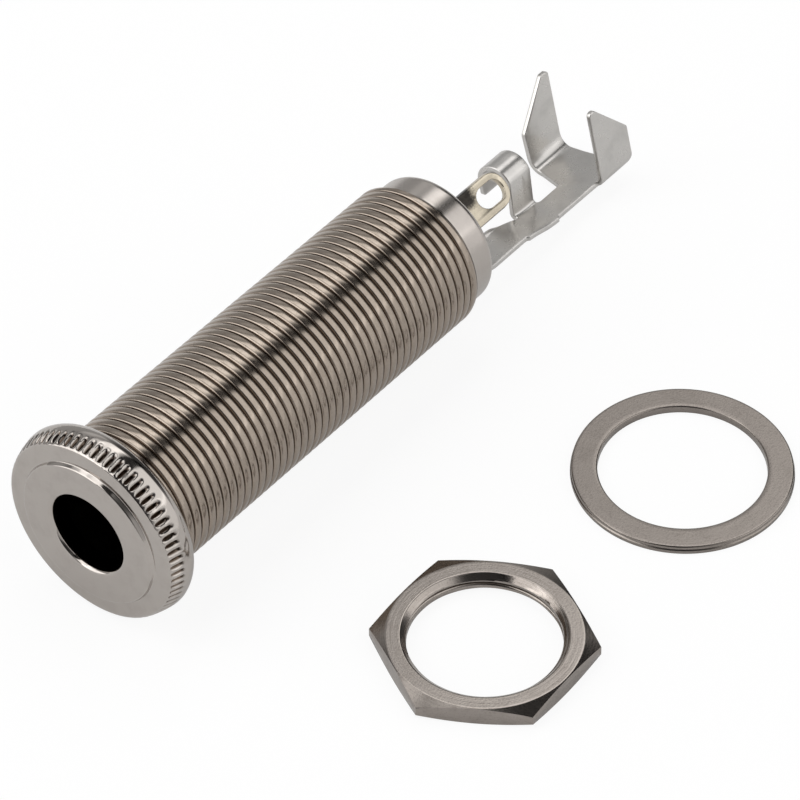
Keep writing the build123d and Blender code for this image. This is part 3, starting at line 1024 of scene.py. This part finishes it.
TIP_BLANK = blank_outline([
    (36.03, -1.1, 0.1), (37.23, -1.1, 0), (37.23, -3.5, 0.1), (37.83, -3.5, 0.1),
    (37.83, -1.58, 0.1), (47.72, -1.58, 1.43), (47.72, 1.34, 1.43), (37.83, 1.34, 0.1),
    (37.83, 3.5, 0.1), (37.23, 3.5, 0.1), (37.23, 1.1, 0), (36.03, 1.1, 0.1),
])
TIP_SLOT = blank_outline([
    (44.43, -1.02, 0.88), (44.43, 0.78, 0.88), (47.25, 0.78, 0.88), (47.25, -1.02, 0.88),
])


def carry_tip(along, across, up):
    """Press the gutter into the blade, from where it leaves the wafers."""
    pressed = ease(along, 39.9, 41.5)
    from_middle = (across - BLADE_MIDDLE) / BLADE_HALF
    lean = 2 * GUTTER * from_middle / BLADE_HALF * pressed
    rise = GUTTER * pressed * (from_middle**2 - GUTTER_SINK)
    return np.stack([
        along,
        across - up * np.sin(lean),
        BLADE_LEVEL + rise + up * np.cos(lean),
    ], 1)


tip_cuts = [("x", at, -2, 2) for at in np.linspace(39.9, 41.5, 5)]
tip_cuts += [("y", at, 37.9, 48) for at in np.linspace(-1.5, 1.3, 11)]
tip_work = plate([TIP_BLANK, TIP_SLOT], BLADE_SHEET, BLADE_EDGE, tip_cuts, carry_tip)
tip_place = jack_place @ Matrix.Rotation(TIP_LEAN, 4, "X")
tip_lug = plate_piece("tip_lug", "tip_solder_lug", tip_work, tip_place)

# %% [markdown]
# ## The tip contact leaf
# The leaf inside the barrel is spring brass, and presses on the plug's tip. Its folded
# form is right in the solid, so folding it again would add nothing. The piece is a copy
# of the solid with its flat faces joined up and every true edge bevelled.

# %% The leaf with softened edges
LEAF_EDGE = 0.04
LEAF_MERGE = 0.002
LEAF_FLAT = math.radians(0.6)
LEAF_SHARP = math.radians(35)

leaf_mesh = frame["nodes"]["tip_contact_spring"].data.copy()
leaf_mesh.transform(jack_place.inverted())
leaf_work = bmesh.new()
leaf_work.from_mesh(leaf_mesh)
bmesh.ops.remove_doubles(leaf_work, verts=leaf_work.verts, dist=LEAF_MERGE * MM)
bmesh.ops.dissolve_limit(
    leaf_work, angle_limit=LEAF_FLAT, verts=leaf_work.verts, edges=leaf_work.edges
)
leaf_edges = [
    edge for edge in leaf_work.edges
    if len(edge.link_faces) == 2 and edge.calc_face_angle() > LEAF_SHARP
]
bmesh.ops.bevel(
    leaf_work, geom=leaf_edges, offset=LEAF_EDGE * MM, segments=2, profile=0.5,
    affect="EDGES", clamp_overlap=True,
)
leaf = plate_piece("tip_leaf", "tip_contact_spring", leaf_work, jack_place)

# %% [markdown]
# ## Metal finishes
# Nickel plate is warm and grey, and it copies what lies under it: bright where the brass
# was polished, duller where the tool left lines. Each finish starts from one colour and
# lets it drift a little in clouds and specks. A turned face also carries fine rings from
# the tool, which are noise that is stretched round the axis. A picture would be simpler,
# but its grain would blur up close, and noise in true mm never does.

# %% Plated metal
TO_MM = 1000.0
CLOUD_SCALE = 700.0
SPECK_SCALE = 6500.0
TOOL_SCALE = 9000.0
# The brown that the thread is painted toward, as painted shade.
THREAD_SHADE_BROWN = (0.305, 0.235, 0.17, 1)


def plated(name, place, colour, dark, rough, mottle, speckle, marks=0.0, worked=None):
    """A metal whose colour and gloss drift; worked adds satin, a film, painted shade and painted
    dark reflections, in mm.
    """
    finish = Finish(bpy.data.materials.new(name))
    there = finish.node("ShaderNodeTexCoord", None, None, "Object")
    turn = {"Vector": there, "Location": place.translation, "Rotation": place.to_euler()}
    local = finish.node("ShaderNodeMapping", {"vector_type": "TEXTURE"}, turn)
    axial, y, z = (finish.node("ShaderNodeSeparateXYZ", None, {0: local}, k) for k in range(3))
    radius = (y * y + z * z).root()
    clouds = finish.noise(local, CLOUD_SCALE, 3.0, 0.6)
    specks = finish.noise(local, SPECK_SCALE, 2.0, 0.6)
    clear = (*colour, 1)
    share = clouds.ramp(0.42, 0.8) * mottle + specks.ramp(0.5, 0.75) * 0.3 * speckle
    height = specks * 0.4 * speckle
    gloss = rough + clouds * 0.03 + specks * 0.03
    if marks:
        lines = {0: (axial + radius) * TOOL_SCALE, 1: y / radius * 1.4, 2: z / radius * 1.4}
        turned = finish.noise(finish.node("ShaderNodeCombineXYZ", None, lines), 1.0, 3.0, 0.65)
        height = height + turned * marks
        share = share + turned.ramp(0.45, 0.85) * 0.5 * marks
        gloss = gloss + turned * 0.08 * marks
    # What worked gives back is mostly painted shade and painted dark reflection, mixed into the
    # colour here.
    if worked:
        film_and_painted_shade, painted_brown_shade, satin = worked(specks, *(part * TO_MM for part in (axial, radius, y, z)))
        share = share + film_and_painted_shade
        gloss = gloss + satin
        clear = finish.blend(painted_brown_shade, clear, THREAD_SHADE_BROWN)
    tint = finish.blend(share, clear, (*dark, 1))
    relief = {"Strength": 0.3, "Distance": 0.00003, "Height": height}
    bump = finish.node("ShaderNodeBump", None, relief)
    metal = finish.node("ShaderNodeBsdfPrincipled", None, {
        "Base Color": tint, "Metallic": 1.0, "Roughness": gloss, "Normal": bump,
    })
    finish.finish_with("ShaderNodeOutputMaterial", metal)
    return finish.owner


def dress(piece, material):
    piece.data.materials.clear()
    piece.data.materials.append(material)


print("plated metal ready")

# %% [markdown]
# The root of the thread and the notches between the teeth are painted dark, as painted shade where
# shade falls in the grooves. The thread is also painted browner, as painted shade for the light
# that bounces between its turns, and it is duller than the flange. All three follow from a point's
# radius and its place along the axis, so no mask has to be drawn.

# %% The barrel's thread, knurl and shoulder
def barrel_shade_and_satin(specks, axial, radius, y, z):
    """Painted shade in the thread's root and the knurl's notches, a light film and a painted brown
    shade on the thread, and the satin of the thread and the shoulder.
    """
    on_thread = axial.ramp(FLANGE_BACK, FLANGE_BACK + 0.2) * radius.ramp(5.41, 5.5)
    # Painted shade: the thread's root is darkened here, and the knurl's notches just below.
    root = (1 - radius.ramp(ROOT_R + 0.05, ROOT_R + 0.17)) * on_thread
    tooth_top = 7.34 + 0.3 * axial
    on_rim = axial.ramp(0.1, 0.2) * (1 - axial.ramp(1.3, 1.4))
    notch_shade = (tooth_top - radius).ramp(0.03, 0.14) * on_rim
    film = on_thread * (0.04 + 0.14 * specks)
    film_and_painted_shade = film + root * (0.5 + 0.35 * specks) + notch_shade * (0.8 + 0.2 * specks)
    # Painted shade: the whole thread is painted browner.
    painted_brown_shade = on_thread * (0.4 + 0.3 * specks)
    satin = on_thread * (0.05 + 0.06 * specks) + axial.ramp(37.4, 37.8) * 0.13
    return film_and_painted_shade, painted_brown_shade, satin


dress(barrel, plated(
    "nickel_plate", jack_place, colour=(0.45, 0.415, 0.385), dark=(0.055, 0.034, 0.02),
    rough=0.07, mottle=0.1, speckle=0.03, worked=barrel_shade_and_satin,
))
print("barrel dressed in", barrel.data.materials[0].name)

# %% [markdown]
# The tip lug is tinned brass. Its left half, between the barrel and the slot, is painted nearly
# black, as a painted dark reflection. The dark has a ragged edge, which the specks give it.

# %% Painted dark reflection on the tip lug
def lug_painted_dark_reflection(specks, axial, radius, y, z):
    """Painted dark reflection on the left half of the tip lug, between the barrel and the slot."""
    across = y * math.cos(TIP_LEAN) + z * math.sin(TIP_LEAN)
    before_slot = 1 - (axial + specks * 1.2).ramp(44.6, 45.6)
    # Painted dark reflection: the share rises to almost 1, so the left half goes nearly black.
    return before_slot * (across + specks * 0.5).ramp(-0.1, 0.6) * 0.98, 0.0, 0.0


dress(tip_lug, plated(
    "tinned_brass", jack_place, colour=(0.52, 0.465, 0.37), dark=(0.03, 0.027, 0.024),
    rough=0.17, mottle=0.12, speckle=0.2, worked=lug_painted_dark_reflection,
))
print("tip lug dressed in", tip_lug.data.materials[0].name)

# %% [markdown]
# The other metals need no places, only their own colour and grain. The nut and the washer
# are darker than the barrel and carry fine rings from the tool. The strip is paler, being
# tinned sheet, and the leaf is bare spring brass.

# %% The other metals
dress(nut, plated(
    "nickel_nut_plate", nut_place, colour=(0.32, 0.288, 0.262), dark=(0.12, 0.096, 0.08),
    rough=0.1, mottle=0.2, speckle=0.9, marks=0.5,
))
dress(washer, plated(
    "washer_plate", washer_place, colour=(0.26, 0.232, 0.21), dark=(0.12, 0.103, 0.09),
    rough=0.2, mottle=0.2, speckle=1.1, marks=0.2,
))
dress(strip, plated(
    "tinned_sheet", jack_place, colour=(0.565, 0.548, 0.525), dark=(0.38, 0.37, 0.355),
    rough=0.25, mottle=0.4, speckle=0.3,
))
dress(ring, strip.data.materials[0])
dress(leaf, plated(
    "spring_brass", jack_place, colour=(0.60, 0.50, 0.30), dark=(0.33, 0.26, 0.16),
    rough=0.2, mottle=0.3, speckle=0.4,
))
print("metals:", [piece.data.materials[0].name for piece in (nut, washer, strip, leaf)])

# %% [markdown]
# ## Insulators
# The sleeve and the wafers are dark fibre board. They show only through the bore and at
# the rear, so their plain solids and a dull brown finish are enough.

# %% Fibre board
fibre = Finish(bpy.data.materials.new("fibre_board"))
weave = fibre.noise(fibre.node("ShaderNodeTexCoord", None, None, "Object"), 900.0, 3.0)
brown = fibre.blend(weave, (0.035, 0.025, 0.018, 1), (0.012, 0.009, 0.007, 1))
relief = {"Strength": 0.1, "Distance": 0.0001, "Height": weave}
board = fibre.node("ShaderNodeBsdfPrincipled", None, {
    "Base Color": brown, "Roughness": 0.45 + weave * 0.2,
    "Normal": fibre.node("ShaderNodeBump", None, relief),
})
fibre.finish_with("ShaderNodeOutputMaterial", board)
for node in ("insulating_sleeve", "front_wafer", "rear_wafer"):
    dress(frame["nodes"][node], fibre.owner)
print("finishes:", [material.name for material in bpy.data.materials])
